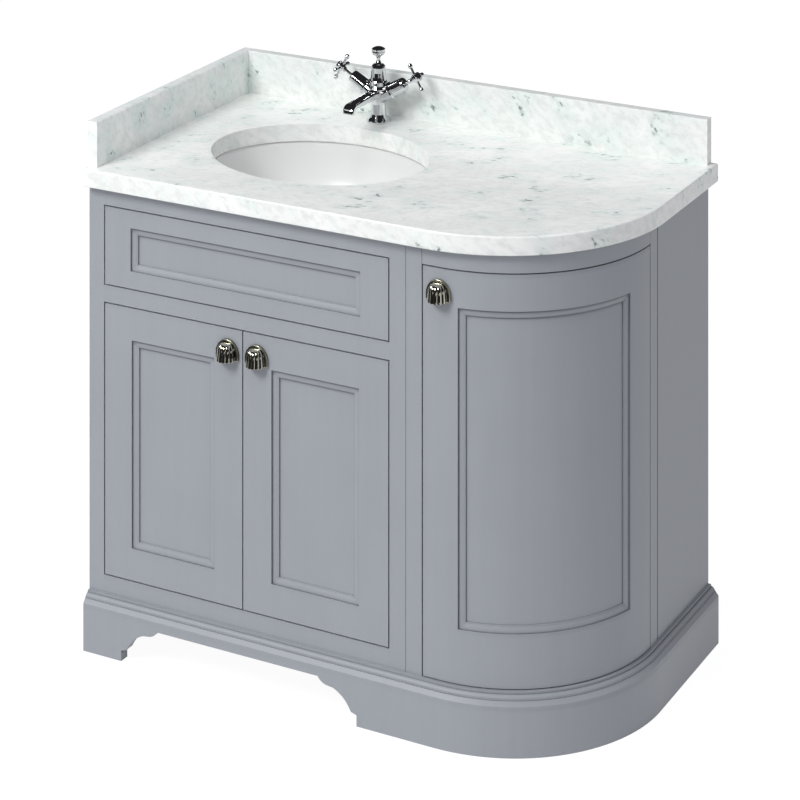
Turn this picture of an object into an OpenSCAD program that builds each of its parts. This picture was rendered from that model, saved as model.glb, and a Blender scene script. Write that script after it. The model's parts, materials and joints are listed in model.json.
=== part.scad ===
// Corner vanity unit: a two-door basin cupboard with a false drawer front, joined to a curved
// end cupboard, under one marble worktop with an undermounted oval basin and a mixer tap.
// Every dimension is in millimetres. Plan coordinates start at the left front corner of the
// worktop: X runs right, Y runs back to the wall, Z runs up from the floor. placed() then moves
// each piece so that the middle of the whole unit's footprint is the origin.

/* [Worktop] */
// Width of the worktop
worktop_w = 980; // [960:1:990]
// Depth from the worktop's front edge to the wall
unit_d = 554; // [540:1:570]
// Height of the worktop's top face above the floor
worktop_top = 852; // [840:1:880]
// Thickness of the worktop
worktop_t = 32; // [25:1:40]
// Plan radius of the worktop's front right corner
worktop_r = 306; // [290:1:320]
// Rounding of the worktop's edges
worktop_edge = 3; // [1:0.5:5]
// Height of the upstands above the worktop
upstand_h = 81; // [60:1:100]
// Thickness of the upstands
upstand_t = 19; // [15:1:25]
// Setback of the left upstand from the worktop's front edge
upstand_setback = 15; // [5:1:30]

/* [Cabinets] */
// Overhang of the worktop in front of the cabinet face
front_overhang = 19.5; // [15:0.5:25]
// Overhang of the worktop past the cabinet's right side
side_overhang = 18.5; // [15:0.5:25]
// Plan radius of the cabinet's front right corner
cabinet_r = 266; // [255:1:275]
// Height of the cabinet floor's top face
cabinet_z = 102; // [98:1:110]
// Place of the joint between the two cabinets
joint_x = 633.4; // [625:0.2:640]
// Width of the fine groove at each joint line
joint_gap = 0.8; // [0.4:0.1:1.5]
// Thickness of the carcass boards
board_t = 18; // [15:1:20]
// Thickness of the face frame and of the doors
frame_t = 20; // [18:1:22]
// Width of the face frame's members, from gap centre to gap centre
frame_w = 32; // [30:0.5:36]
// Gap around each door and around the drawer front
door_gap = 2.5; // [2.2:0.1:3]

/* [Doors] */
// Height of the gap line between drawer front and middle rail
drawer_z = 647; // [640:1:655]
// Width of a flat door's stiles and rails, up to the moulding
door_stile = 56; // [50:1:64]
// Width of the drawer front's end stiles, up to the moulding
drawer_stile = 53.5; // [45:0.5:64]
// Width of the drawer front's rails, up to the moulding
drawer_rail = 30.5; // [28:0.5:36]
// Width of the moulding around each panel
bead_w = 12; // [8:0.5:14]
// Depth of each panel's face behind the frame's face
panel_depth = 7.5; // [6:0.5:9]
// Thickness of the panels
panel_t = 8; // [6:0.5:9]
// Arc angle at which the curved door's left moulding starts
curved_bead_from = 7.3; // [7:0.1:12]
// Arc angle at which the curved door's right moulding ends
curved_bead_to = 75.8; // [73:0.1:78]
// Width of the curved door's top rail, up to the moulding
curved_top_rail_w = 60.5; // [58:0.5:72]
// Width of the curved door's bottom rail, up to the moulding
curved_bottom_rail_w = 90; // [86:1:106]
// Clearance under the curved door
curved_door_lift = 2; // [1.5:0.5:3]

/* [Door pivots] */
// Distance of a pivot from the door's hinge edge
pivot_inset = 22; // [20:1:26]
// Depth of a pivot behind the door's face
pivot_depth = 9; // [8:0.5:10]
// Radius of a pivot pin
pin_r = 3; // [2.5:0.5:4]
// Running clearance between a pivot pin and its bush
pin_clearance = 0.05; // [0.02:0.01:0.1]
// Outer radius of a pivot bush
bush_r = 6; // [5:0.5:7]
// Length of a pivot bush
bush_l = 12; // [10:1:14]

/* [Plinth] */
// Height of the plinth boards, up to the moulding
plinth_h = 81.3; // [76:0.1:86]
// Inside edge of the left bracket foot at the floor
foot_left = 80; // [70:1:100]
// Inside edge of the right bracket foot at the floor
foot_right = 550.5; // [530:0.5:570]
// Height of the arch between the bracket feet
arch_h = 67; // [64:1:70]

/* [Basin] */
// Centre of the basin from the worktop's left edge
basin_x = 328; // [320:1:335]
// Centre of the basin from the worktop's front edge
basin_y = 270; // [265:1:275]
// Half of the worktop cut-out's width
basin_a = 206; // [195:1:212]
// Half of the worktop cut-out's depth
basin_b = 166; // [158:1:172]
// Depth of the bowl below the worktop's underside
basin_depth = 140; // [130:1:150]
// Thickness of the ceramic
ceramic_t = 11; // [9:0.5:13]
// Distance of the waste behind the basin's centre
waste_offset = 30; // [20:1:40]

/* [Tap] */
// Centre of the tap from the worktop's front edge
tap_y = 492; // [485:1:498]
// Height of the valves' common point above the worktop
valve_z = 45.5; // [43:0.5:52]
// Rise of each valve above the horizontal
valve_angle = 30; // [28:1:35]
// Distance of a cross handle's spokes from the valves' common point
handle_reach = 91; // [88:1:95]
// Travel of the lift knob that works the waste plug
lift_travel = 30; // [24:1:32]

/* [Knobs] */
// Width of a door knob at its mouth
knob_w = 45; // [40:1:48]
// Height of a door knob
knob_h = 35; // [32:1:46]
// Projection of a door knob in front of the door
knob_proj = 25; // [22:1:28]

/* [Hidden] */
$fn = 96;

// Colours
grey_paint = [0.56, 0.58, 0.61];
marble = [0.93, 0.94, 0.93];
white_ceramic = [0.97, 0.97, 0.97];
chrome = [0.80, 0.81, 0.82];
nickel = [0.72, 0.69, 0.60];
brass = [0.78, 0.65, 0.35];
steel = [0.62, 0.63, 0.65];

// Cabinet lines
face_y = front_overhang;
right_x = worktop_w - side_overhang;
cabinet_top = worktop_top - worktop_t;
corner_x = right_x - cabinet_r;
corner_y = face_y + cabinet_r;
inner_r = cabinet_r - frame_t;
half_gap = door_gap / 2;
left_end_x = joint_x - joint_gap / 2;
curved_start_x = joint_x + joint_gap / 2;
opening_left = frame_w;
opening_right = joint_x - frame_w;
meeting_x = (opening_left + opening_right) / 2;
top_rail_h = frame_w + 1.5;
bottom_rail_h = frame_w + 0.5;
top_rail_z = cabinet_top - top_rail_h;
door_top_z = drawer_z - frame_w;
door_bottom_z = cabinet_z + bottom_rail_h;
curved_stile_x = joint_x + frame_w - joint_gap;
stile_end_y = corner_y + frame_w;
back_y = unit_d - board_t;

// Plinth and moulding
plinth_t = front_overhang;
plinth_r = cabinet_r + front_overhang;
plinth_right = right_x + front_overhang;
floor_z = cabinet_z - board_t;

// Basin and waste
basin_ratio = basin_b / basin_a;
bowl_z = cabinet_top - basin_depth;
waste_y = basin_y + waste_offset;
flange_z = bowl_z - 1;
lever_drop = 55;
lever_port = 25;
lever_z = bowl_z - lever_drop;
lever_y = waste_y + lever_port;
lever_r = 2.5;
strap_t = 2;
strap_y = tap_y + 4;
lever_arm = strap_y - lever_y;
lever_tilt = atan(lift_travel / 2 / lever_arm);
plug_rest = tan(lever_tilt) * (lever_y - waste_y);

// Knobs, and the whole unit's footprint
knob_reach = knob_proj - front_overhang;
middle_x = plinth_right / 2;
middle_y = (unit_d - knob_reach) / 2;

// Moves a piece from plan coordinates to the unit's own origin.
module placed() {
    translate([-middle_x, -middle_y, 0]) children();
}

// A box given by its two extreme corners.
module box(low, high) {
    translate(low) cube(high - low);
}

// Points on a shallow arc from p to q, bulging by sag to the left of the way from p to q.
function arc_points(p, q, sag, steps) =
    let (chord = norm(q - p), r = (chord * chord / 4 + sag * sag) / (2 * sag))
    let (along = (q - p) / chord, left = [-along[1], along[0]])
    let (centre = (p + q) / 2 + left * (sag - r), half = asin(chord / 2 / r))
    [for (i = [0 : steps]) let (a = half * (2 * i / steps - 1))
        centre + along * (r * sin(a)) + left * (r * cos(a))];

// The part of the curved corner between two arc angles, counted from the front: the section is
// given as [radius, height] points.
module corner_sweep(from, to, section) {
    translate([corner_x, corner_y, 0]) rotate([0, 0, from - 90]) rotate_extrude(angle = to - from)
        polygon(section);
}

// A wall of the curved corner, from radius r_in to r_out and from z_low to z_high.
module corner_wall(from, to, r_in, r_out, z_low, z_high) {
    corner_sweep(from, to, [[r_in, z_low], [r_out, z_low], [r_out, z_high], [r_in, z_high]]);
}

// A point of the curved corner at arc angle a plus s millimetres along the face, d behind it.
function on_corner(a, s, d) =
    let (angle = a + s / cabinet_r * 180 / PI - 90)
    [corner_x, corner_y] + (cabinet_r - d) * [cos(angle), sin(angle)];

// ---- Carcass ----

module left_side_panel() {
    color(grey_paint) placed() box([0, face_y + frame_t, cabinet_z], [board_t, unit_d, cabinet_top]);
}

module middle_panel_left() {
    color(grey_paint) placed()
        box([left_end_x - board_t, face_y + frame_t, cabinet_z], [left_end_x, unit_d, cabinet_top]);
}

shelf_z = 440;
shelf_pin_r = 2.5;
shelf_pin_y = [370, 520];
shelf_pin_deep = 10;

module shelf_pin_holes(x) {
    for (y = shelf_pin_y) translate([x, y, shelf_z - shelf_pin_r]) rotate([0, 90, 0])
        cylinder(r = shelf_pin_r, h = shelf_pin_deep);
}

module middle_panel_right() {
    color(grey_paint) placed() difference() {
        box([curved_start_x, face_y + frame_t, cabinet_z],
            [curved_start_x + board_t, unit_d, cabinet_top]);
        shelf_pin_holes(curved_start_x + board_t - shelf_pin_deep);
    }
}

// Groove down the outer front edge of the right side board, beside the stile.
quirk_w = 3;
quirk_depth = 4;

module right_side_panel() {
    color(grey_paint) placed() difference() {
        box([right_x - board_t, stile_end_y, cabinet_z], [right_x, unit_d, cabinet_top]);
        box([right_x - quirk_depth, stile_end_y - 1, cabinet_z - 1],
            [right_x + 1, stile_end_y + quirk_w, cabinet_top + 1]);
        shelf_pin_holes(right_x - board_t);
    }
}

wall_screw_r = 2.75;
wall_screw_x = [100, 520];
back_rail_h = 80;

module left_back_rails() {
    color(grey_paint) placed() for (z = [cabinet_z, cabinet_top - back_rail_h]) difference() {
        box([board_t, back_y, z], [left_end_x - board_t, unit_d, z + back_rail_h]);
        for (x = wall_screw_x) translate([x, back_y - 1, z + back_rail_h / 2]) rotate([-90, 0, 0])
            cylinder(r = wall_screw_r, h = board_t + 2);
    }
}

back_panel_t = 8;

module curved_back_panel() {
    color(grey_paint) placed()
        box([curved_start_x + board_t, unit_d - back_panel_t, cabinet_z],
            [right_x - board_t, unit_d, cabinet_top]);
}

module left_floor() {
    color(grey_paint) placed() box([0, face_y, floor_z], [left_end_x, unit_d, cabinet_z]);
}

curved_pivot = [right_x - pivot_depth, corner_y - pivot_inset];

module bush_hole(x, y, z) {
    translate([x, y, z]) cylinder(r = bush_r, h = bush_l);
}

module curved_floor() {
    color(grey_paint) placed() difference() {
        union() {
            box([curved_start_x, face_y, floor_z], [corner_x, unit_d, cabinet_z]);
            box([corner_x, corner_y, floor_z], [right_x, unit_d, cabinet_z]);
            corner_wall(0, 90, 0, cabinet_r, floor_z, cabinet_z);
        }
        bush_hole(curved_pivot[0], curved_pivot[1], cabinet_z - bush_l);
    }
}

shelf_r = 214;
shelf_gap = 1;
shelf_notch = 12;

module curved_shelf() {
    shelf_left = curved_start_x + board_t + shelf_gap;
    shelf_right = right_x - board_t - shelf_gap;
    shelf_back = unit_d - back_panel_t - shelf_gap;
    shelf_top = shelf_z + board_t;
    color(grey_paint) placed() union() {
        box([shelf_left, corner_y - shelf_r, shelf_z], [corner_x, shelf_back, shelf_top]);
        box([corner_x, corner_y, shelf_z], [corner_x + shelf_r, shelf_back, shelf_top]);
        box([corner_x + shelf_r, stile_end_y + shelf_notch, shelf_z],
            [shelf_right, shelf_back, shelf_top]);
        corner_wall(0, 90, 0, shelf_r, shelf_z, shelf_top);
    }
}

shelf_pin_l = 18;

module shelf_pins() {
    left_x = curved_start_x + board_t - shelf_pin_deep;
    right_end_x = right_x - board_t + shelf_pin_deep;
    color(steel) placed() for (y = shelf_pin_y, x = [left_x, right_end_x - shelf_pin_l])
        translate([x, y, shelf_z - shelf_pin_r]) rotate([0, 90, 0])
            cylinder(r = shelf_pin_r, h = shelf_pin_l);
}

// ---- Face frames ----

module frame_left_stile() {
    color(grey_paint) placed()
        box([0, face_y, cabinet_z], [opening_left - half_gap, face_y + frame_t, cabinet_top]);
}

module frame_right_stile() {
    color(grey_paint) placed()
        box([opening_right + half_gap, face_y, cabinet_z], [left_end_x, face_y + frame_t, cabinet_top]);
}

module frame_rail(z_low, z_high) {
    box([opening_left - half_gap, face_y, z_low], [opening_right + half_gap, face_y + frame_t, z_high]);
}

left_pivot = [opening_left + half_gap + pivot_inset, face_y + pivot_depth];
right_pivot = [opening_right - half_gap - pivot_inset, face_y + pivot_depth];

module frame_top_rail() {
    color(grey_paint) placed() frame_rail(top_rail_z + half_gap, cabinet_top);
}

module frame_middle_rail() {
    color(grey_paint) placed() difference() {
        frame_rail(door_top_z + half_gap, drawer_z - half_gap);
        for (p = [left_pivot, right_pivot]) bush_hole(p[0], p[1], door_top_z + half_gap);
    }
}

module frame_bottom_rail() {
    color(grey_paint) placed() difference() {
        frame_rail(cabinet_z, door_bottom_z - half_gap);
        for (p = [left_pivot, right_pivot]) bush_hole(p[0], p[1], door_bottom_z - half_gap - bush_l);
    }
}

module curved_left_stile() {
    color(grey_paint) placed()
        box([curved_start_x, face_y, cabinet_z],
            [curved_stile_x - half_gap, face_y + frame_t, cabinet_top]);
}

module curved_right_stile() {
    color(grey_paint) placed()
        box([right_x - frame_t, corner_y + door_gap, cabinet_z], [right_x, stile_end_y, cabinet_top]);
}

module curved_top_rail() {
    rail_z = top_rail_z + half_gap;
    color(grey_paint) placed() difference() {
        union() {
            box([curved_stile_x - half_gap + joint_gap, face_y, rail_z],
                [corner_x, face_y + frame_t, cabinet_top]);
            box([right_x - frame_t, corner_y, rail_z],
                [right_x, corner_y + door_gap - joint_gap, cabinet_top]);
            corner_wall(0, 90, inner_r, cabinet_r, rail_z, cabinet_top);
        }
        bush_hole(curved_pivot[0], curved_pivot[1], rail_z);
    }
}

block_w = 34;
block_h = 30;

module worktop_blocks() {
    left_x = board_t;
    mid_x = left_end_x - board_t - block_w;
    near_x = curved_start_x + board_t;
    far_x = right_x - board_t - block_w;
    front_y = face_y + frame_t;
    rail_y = back_y - block_w;
    panel_y = unit_d - back_panel_t - block_w;
    spots = [
        [left_x, front_y], [mid_x, front_y], [left_x, rail_y], [mid_x, rail_y],
        [near_x, panel_y], [far_x, panel_y]
    ];
    color(grey_paint) placed() for (p = spots)
        box([p[0], p[1], cabinet_top - block_h], [p[0] + block_w, p[1] + block_w, cabinet_top]);
}

// ---- Door pivots ----

module bush(x, y, z) {
    translate([x, y, z]) difference() {
        cylinder(r = bush_r, h = bush_l);
        translate([0, 0, -1]) cylinder(r = pin_r + pin_clearance, h = bush_l + 2);
    }
}

module pivot_bushes() {
    color(brass) placed() {
        for (p = [left_pivot, right_pivot]) {
            bush(p[0], p[1], door_top_z + half_gap);
            bush(p[0], p[1], door_bottom_z - half_gap - bush_l);
        }
        bush(curved_pivot[0], curved_pivot[1], top_rail_z + half_gap);
        bush(curved_pivot[0], curved_pivot[1], cabinet_z - bush_l);
    }
}

shank_r = 4;
shank_l = 24;
pin_reach = 9;

// One pivot pin: a shank in the door's edge and a thinner pin beyond it.
module pivot_pin(gap) {
    translate([0, 0, -shank_l]) cylinder(r = shank_r, h = shank_l);
    cylinder(r = pin_r, h = gap + pin_reach);
}

// The two pins of a door, in its top edge and in its bottom edge.
module door_pins(pivot, z_low, z_high, gap_low) {
    color(steel) placed() {
        translate([pivot[0], pivot[1], z_high]) pivot_pin(door_gap);
        translate([pivot[0], pivot[1], z_low]) mirror([0, 0, 1]) pivot_pin(gap_low);
    }
}

module shank_holes(pivot, z_low, z_high) {
    translate([pivot[0], pivot[1], z_high - shank_l]) cylinder(r = shank_r, h = shank_l + 1);
    translate([pivot[0], pivot[1], z_low - 1]) cylinder(r = shank_r, h = shank_l + 1);
}

// ---- Framed doors ----

groove = 6;
bead_step = 3;
bead_lip = 2.2;
bead_fillet = 1.5;

// The front of the moulding as [distance from the frame, depth] points: a step, a slightly convex
// face and a second step down to the panel.
bead_points = concat(
    [[0, 0], [0, bead_step]],
    arc_points([bead_fillet, bead_step], [bead_w - bead_fillet, panel_depth - bead_lip], -0.5, 6),
    [[bead_w, panel_depth - bead_lip], [bead_w, panel_depth]]
);

// Section of a door member: w wide up to the moulding, with the panel's groove in its inner edge.
function member_section(w) = concat(
    [[0, frame_t], [0, 0]],
    [for (p = bead_points) [w + p[0], p[1]]],
    [[w + bead_w - groove, panel_depth], [w + bead_w - groove, panel_depth + panel_t]],
    [[w + bead_w, panel_depth + panel_t], [w + bead_w, frame_t]]
);

// A flat framed door of the given size, its face at Y = 0 and its lower left corner at the origin.
module flat_frame(w, h, stile, rail) {
    linear_extrude(h) polygon(member_section(stile));
    translate([w, 0, 0]) mirror([1, 0, 0]) linear_extrude(h) polygon(member_section(stile));
    rail_section = [for (p = member_section(rail)) [p[1], p[0]]];
    rotate([90, 0, 90]) linear_extrude(w) polygon(rail_section);
    translate([0, 0, h]) mirror([0, 0, 1]) rotate([90, 0, 90]) linear_extrude(w) polygon(rail_section);
}

module flat_panel(w, h, stile, rail) {
    side = stile + bead_w - groove;
    end = rail + bead_w - groove;
    box([side, panel_depth, end], [w - side, panel_depth + panel_t, h - end]);
}

drawer_x = opening_left + half_gap;
drawer_w = opening_right - opening_left - door_gap;
drawer_h = top_rail_z - drawer_z - door_gap;
door_w = meeting_x - opening_left - door_gap;
door_h = door_top_z - door_bottom_z - door_gap;
door_low = door_bottom_z + half_gap;
door_high = door_top_z - half_gap;
right_door_x = meeting_x + half_gap;

module drawer_front_frame() {
    color(grey_paint) placed() translate([drawer_x, face_y, drawer_z + half_gap])
        flat_frame(drawer_w, drawer_h, drawer_stile, drawer_rail);
}

module drawer_front_panel() {
    color(grey_paint) placed() translate([drawer_x, face_y, drawer_z + half_gap])
        flat_panel(drawer_w, drawer_h, drawer_stile, drawer_rail);
}

batten_w = 24;
batten_inset = 45;
batten_gap = 5;

module drawer_front_battens() {
    y = face_y + frame_t;
    ends = [opening_left + batten_inset, opening_right - batten_inset - batten_w];
    color(grey_paint) placed() for (x = ends)
        box([x, y, door_top_z + batten_gap], [x + batten_w, y + board_t, cabinet_top - batten_gap]);
}

module left_door_frame() {
    color(grey_paint) placed() difference() {
        translate([drawer_x, face_y, door_low]) flat_frame(door_w, door_h, door_stile, door_stile);
        shank_holes(left_pivot, door_low, door_high);
    }
}

module left_door_panel() {
    color(grey_paint) placed() translate([drawer_x, face_y, door_low])
        flat_panel(door_w, door_h, door_stile, door_stile);
}

module left_door_pins() {
    door_pins(left_pivot, door_low, door_high, door_gap);
}

module right_door_frame() {
    color(grey_paint) placed() difference() {
        translate([right_door_x, face_y, door_low]) flat_frame(door_w, door_h, door_stile, door_stile);
        shank_holes(right_pivot, door_low, door_high);
    }
}

module right_door_panel() {
    color(grey_paint) placed() translate([right_door_x, face_y, door_low])
        flat_panel(door_w, door_h, door_stile, door_stile);
}

module right_door_pins() {
    door_pins(right_pivot, door_low, door_high, door_gap);
}

// ---- Curved door ----

curved_low = cabinet_z + curved_door_lift;
curved_high = top_rail_z - half_gap;
curved_x = curved_stile_x + half_gap;
rebate_angle = (bead_w - groove) / cabinet_r * 180 / PI;
lip_gap = 0.3;
bead_drop = 0.1;
bead_last = len(bead_points) - 2;
bottom_edge = curved_low + curved_bottom_rail_w;
top_edge = curved_high - curved_top_rail_w;

// The front opening of the curved door, as far in as the moulding allows. Beside the stiles the
// moulding lies a little deeper than along the rails, so the two meet in clean mitres.
module curved_opening() {
    left_side = [for (i = [1 : bead_last])
        on_corner(curved_bead_from, bead_points[i][0], bead_points[i][1] + bead_drop)];
    right_side = [for (i = [bead_last : -1 : 1])
        on_corner(curved_bead_to, -bead_points[i][0], bead_points[i][1] + bead_drop)];
    plan = concat(
        [on_corner(curved_bead_from, 0, -8)], left_side,
        [on_corner(curved_bead_from, bead_w, 60), on_corner(curved_bead_to, -bead_w, 60)], right_side,
        [on_corner(curved_bead_to, 0, -8), on_corner(60, 0, -80), on_corner(25, 0, -80)]
    );
    bottom = [for (i = [1 : bead_last])
        [cabinet_r - bead_points[i][1], bottom_edge + bead_points[i][0]]];
    top = [for (i = [bead_last : -1 : 1]) [cabinet_r - bead_points[i][1], top_edge - bead_points[i][0]]];
    section = concat(
        [[cabinet_r + 8, bottom_edge]], bottom,
        [[cabinet_r - 60, bottom_edge + bead_w], [cabinet_r - 60, top_edge - bead_w]], top,
        [[cabinet_r + 8, top_edge]]
    );
    intersection() {
        translate([0, 0, curved_low]) linear_extrude(curved_high - curved_low) polygon(plan);
        corner_sweep(2, 88, section);
    }
}

// The panel's space behind the moulding's lip.
module curved_rebate() {
    corner_wall(curved_bead_from + rebate_angle, curved_bead_to - rebate_angle,
        inner_r - 5, cabinet_r - panel_depth + lip_gap,
        bottom_edge + bead_w - groove, top_edge - bead_w + groove);
}

module curved_door_frame() {
    color(grey_paint) placed() difference() {
        union() {
            box([curved_x, face_y, curved_low], [corner_x, face_y + frame_t, curved_high]);
            corner_wall(0, 90, inner_r, cabinet_r, curved_low, curved_high);
        }
        curved_opening();
        curved_rebate();
        shank_holes(curved_pivot, curved_low, curved_high);
    }
}

module curved_door_panel() {
    panel_r = cabinet_r - panel_depth;
    color(grey_paint) placed()
        corner_wall(curved_bead_from + rebate_angle, curved_bead_to - rebate_angle,
            panel_r - panel_t, panel_r, bottom_edge + bead_w - groove, top_edge - bead_w + groove);
}

module curved_door_pins() {
    door_pins(curved_pivot, curved_low, curved_high, curved_door_lift);
}

// ---- Knobs ----

knob_flutes = 7;
flute_r = 2.2;
flute_h = 21;
knob_plate_t = 3;
mouth_r = knob_w / 2 - 1.3;
bell_h = knob_h - 4;

// Plan radius of the knob's bell at height z above its mouth.
function bell_r(z) = mouth_r * pow(max(0, 1 - pow(z / (knob_h - 3), 2.6)), 0.5) - z * 0.06;

// A half-bell knob hanging on an arch-shaped plate: its back is at Y = 0, its mouth at Z = 0.
module knob() {
    steps = 10;
    plate_r = knob_w / 2;
    depth = (knob_proj - knob_plate_t) / mouth_r;
    bell = [for (i = [0 : steps]) let (z = bell_h * i / steps) [bell_r(z), z]];
    translate([0, -knob_plate_t, 0]) scale([1, depth, 1]) difference() {
        rotate([0, 0, 180]) rotate_extrude(angle = 180) polygon(concat([[0, 0]], bell, [[0, bell_h]]));
        for (i = [0 : knob_flutes]) rotate([0, 0, 180 + 180 * i / knob_flutes])
            translate([mouth_r + 1.3, 0, -1]) cylinder(r = flute_r, h = flute_h + 1);
    }
    rotate([90, 0, 0]) linear_extrude(knob_plate_t) intersection() {
        translate([-plate_r, 0]) square([knob_w, knob_h]);
        union() {
            translate([-plate_r, 0]) square([knob_w, knob_h - plate_r]);
            translate([0, knob_h - plate_r]) circle(r = plate_r);
        }
    }
}

knob_from_edge = 28;
knob_drop = 17;
knob_z = door_high - knob_drop - knob_h;
curved_knob_x = curved_x + 30;
curved_knob_z = curved_high - knob_drop - knob_h;

module left_door_knob() {
    color(nickel) placed() translate([meeting_x - half_gap - knob_from_edge, face_y, knob_z]) knob();
}

module right_door_knob() {
    color(nickel) placed() translate([meeting_x + half_gap + knob_from_edge, face_y, knob_z]) knob();
}

module curved_door_knob() {
    color(nickel) placed() translate([curved_knob_x, face_y, curved_knob_z]) knob();
}

// ---- Plinth ----

// Outline of the left bracket foot's inner side, from the floor up to the arch.
foot_outline = concat(
    [[0, 0], [0, 18.5], [11, 22]],
    arc_points([12, 24], [45, 54], 4.2, 6),
    arc_points([60, 56], [75, arch_h], -1.8, 4)
);

module plinth_front() {
    left_side = [for (p = foot_outline) [foot_left + p[0], p[1]]];
    right_side = [for (i = [len(foot_outline) - 1 : -1 : 0])
        [foot_right - foot_outline[i][0], foot_outline[i][1]]];
    outline = concat([[0, 0]], left_side, right_side, [[corner_x, 0], [corner_x, plinth_h], [0, plinth_h]]);
    color(grey_paint) placed() translate([0, plinth_t, 0]) rotate([90, 0, 0])
        linear_extrude(plinth_t) polygon(outline);
}

module plinth_curve() {
    color(grey_paint) placed() union() {
        corner_wall(0, 90, plinth_r - plinth_t, plinth_r, 0, plinth_h);
        box([plinth_right - plinth_t, corner_y, 0], [plinth_right, unit_d, plinth_h]);
    }
}

module plinth_left_board() {
    color(grey_paint) placed() box([0, plinth_t, 0], [board_t, unit_d, floor_z]);
}

module plinth_cross_rails() {
    color(grey_paint) placed() union() {
        box([board_t, back_y, 0], [plinth_right - plinth_t, unit_d, floor_z]);
        box([joint_x - board_t / 2, plinth_t, 0], [joint_x + board_t / 2, back_y, floor_z]);
    }
}

// Section of the plinth moulding as [projection, height] points: three lips joined by hollows.
lip_1 = 5.5;
lip_2 = 13;
moulding_points = concat(
    [
        [0, plinth_h], [front_overhang, plinth_h], [front_overhang, plinth_h + 2.7],
        [lip_2 + 1, plinth_h + 9.7], [lip_2, plinth_h + 9.7], [lip_2, plinth_h + 12.2]
    ],
    arc_points([lip_2 - 1, plinth_h + 12.2], [lip_1, cabinet_z - 3.2], -1.2, 4),
    [[lip_1, cabinet_z], [0, cabinet_z]]
);

module plinth_moulding() {
    front = [for (p = moulding_points) [-p[0], p[1]]];
    corner = [for (p = moulding_points) [cabinet_r + p[0], p[1]]];
    color(grey_paint) placed() union() {
        translate([0, face_y, 0]) rotate([90, 0, 90]) linear_extrude(corner_x) polygon(front);
        corner_sweep(0, 90, corner);
        translate([right_x, unit_d, 0]) rotate([90, 0, 0]) linear_extrude(unit_d - corner_y)
            polygon(moulding_points);
    }
}

// ---- Worktop ----

tap_hole_r = 17.5;
edge_w = 8;

// Section of the worktop's edge, from its flat part outwards.
edge_points = concat(
    [[0, 0]],
    arc_points([edge_w - 2, 0], [edge_w, 2], -0.6, 4),
    arc_points([edge_w, worktop_t - worktop_edge], [edge_w - worktop_edge, worktop_t],
        -worktop_edge * 0.3, 4),
    [[0, worktop_t]]
);

// An upright oval cylinder with half axes a and b.
module oval(a, b, z_low, z_high) {
    sides = 96;
    translate([basin_x, basin_y, z_low]) linear_extrude(z_high - z_low)
        polygon([for (i = [0 : sides - 1]) [a * cos(360 * i / sides), b * sin(360 * i / sides)]]);
}

module worktop() {
    flat_r = worktop_r - edge_w;
    centre_x = worktop_w - worktop_r;
    color(marble) placed() difference() {
        union() {
            box([0, edge_w, cabinet_top], [centre_x, unit_d, worktop_top]);
            box([centre_x, worktop_r, cabinet_top], [worktop_w - edge_w, unit_d, worktop_top]);
            translate([centre_x, worktop_r, cabinet_top]) rotate([0, 0, -90]) rotate_extrude(angle = 90)
                polygon(concat([[0, 0]], [for (p = edge_points) [flat_r + p[0], p[1]]], [[0, worktop_t]]));
            translate([0, edge_w, cabinet_top]) rotate([90, 0, 90]) linear_extrude(centre_x)
                polygon([for (p = edge_points) [-p[0], p[1]]]);
            translate([worktop_w - edge_w, unit_d, cabinet_top]) rotate([90, 0, 0])
                linear_extrude(unit_d - worktop_r) polygon(edge_points);
        }
        oval(basin_a, basin_b, cabinet_top - 1, worktop_top + 1);
        translate([basin_x, tap_y, cabinet_top - 1]) cylinder(r = tap_hole_r, h = worktop_t + 2);
    }
}

upstand_bevel = 1.5;
upstand_end_x = worktop_w - 13;

// Section of an upstand as [thickness, height] points, its front bevelled at the top.
upstand_points = [
    [0, 0], [upstand_t, 0], [upstand_t, upstand_h - upstand_bevel],
    [upstand_t - upstand_bevel, upstand_h], [0, upstand_h]
];

module left_upstand() {
    color(marble) placed() translate([0, unit_d, worktop_top]) rotate([90, 0, 0])
        linear_extrude(unit_d - upstand_setback) polygon(upstand_points);
}

module back_upstand() {
    color(marble) placed() translate([upstand_t, unit_d, worktop_top]) rotate([90, 0, 90])
        linear_extrude(upstand_end_x - upstand_t) polygon([for (p = upstand_points) [-p[0], p[1]]]);
}

// ---- Basin ----

// Points of a bowl from its rim to its lowest point, as [radius, height] below z = 0.
function bowl(r, depth, steps) = [for (i = [0 : steps]) let (a = 90 * i / steps)
    [r * pow(cos(a), 0.65), -depth * pow(sin(a), 0.9)]];

rim_w = 24;
rim_t = 10;
waste_hole_r = 23.5;
waste_flange_r = 31;

// An oval solid of revolution: section is a closed loop of [half width, height] points that stays
// off the axis, and every ring of it is an oval with the basin's own ratio.
module oval_ring(section, sides) {
    count = len(section);
    points = [for (p = section, i = [0 : sides - 1]) let (a = 360 * i / sides)
        [p[0] * cos(a), p[0] * basin_ratio * sin(a), p[1]]];
    faces = [for (k = [0 : count - 1], i = [0 : sides - 1])
        let (j = (i + 1) % sides, next = (k + 1) % count)
        [k * sides + i, next * sides + i, next * sides + j, k * sides + j]];
    polyhedron(points, faces);
}

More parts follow.
